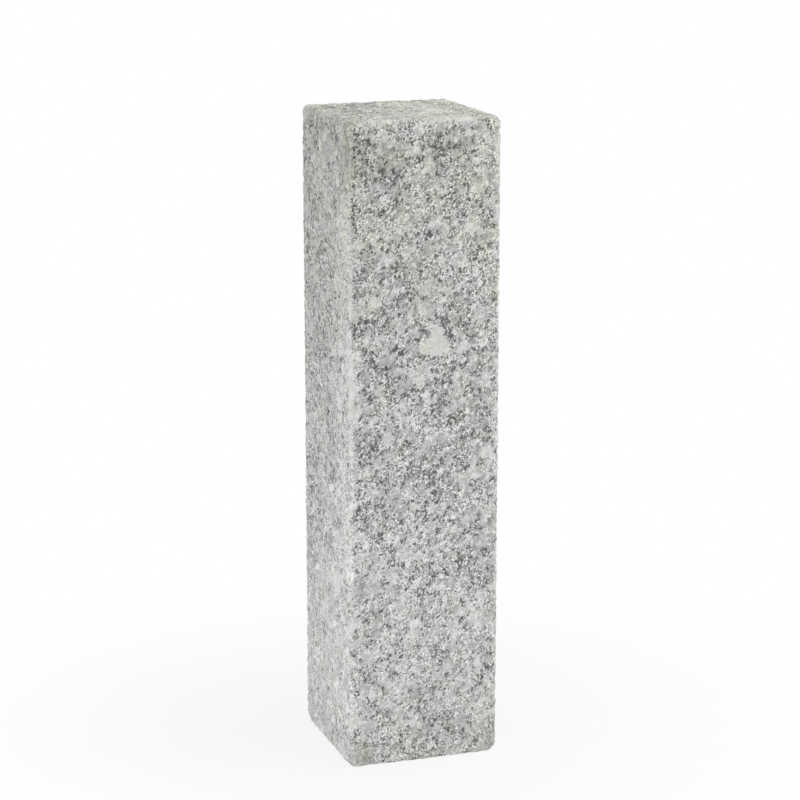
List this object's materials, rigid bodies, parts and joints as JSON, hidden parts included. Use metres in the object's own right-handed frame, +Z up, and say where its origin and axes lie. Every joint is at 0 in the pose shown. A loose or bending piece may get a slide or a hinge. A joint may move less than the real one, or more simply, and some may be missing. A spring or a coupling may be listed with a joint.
{
  "type": "stone palisade",
  "caption": "Square granite post with bush-hammered faces, worn round arrises and chipped corners, set upright in a row to edge beds, steps and terraces.",
  "frame": {"origin": "middle of the foot, on the plane that the post stands on", "axes": "+Z up along the post, X along the row in which posts are set, -Y out of the show face"},
  "size_m": [0.12, 0.12, 0.5],
  "materials": {
    "granite": "bush-hammered light grey granite, matt, with dark mica flecks"
  },
  "bodies": {
    "root": {"palisade_stone": "granite"}
  },
  "joints": []
}
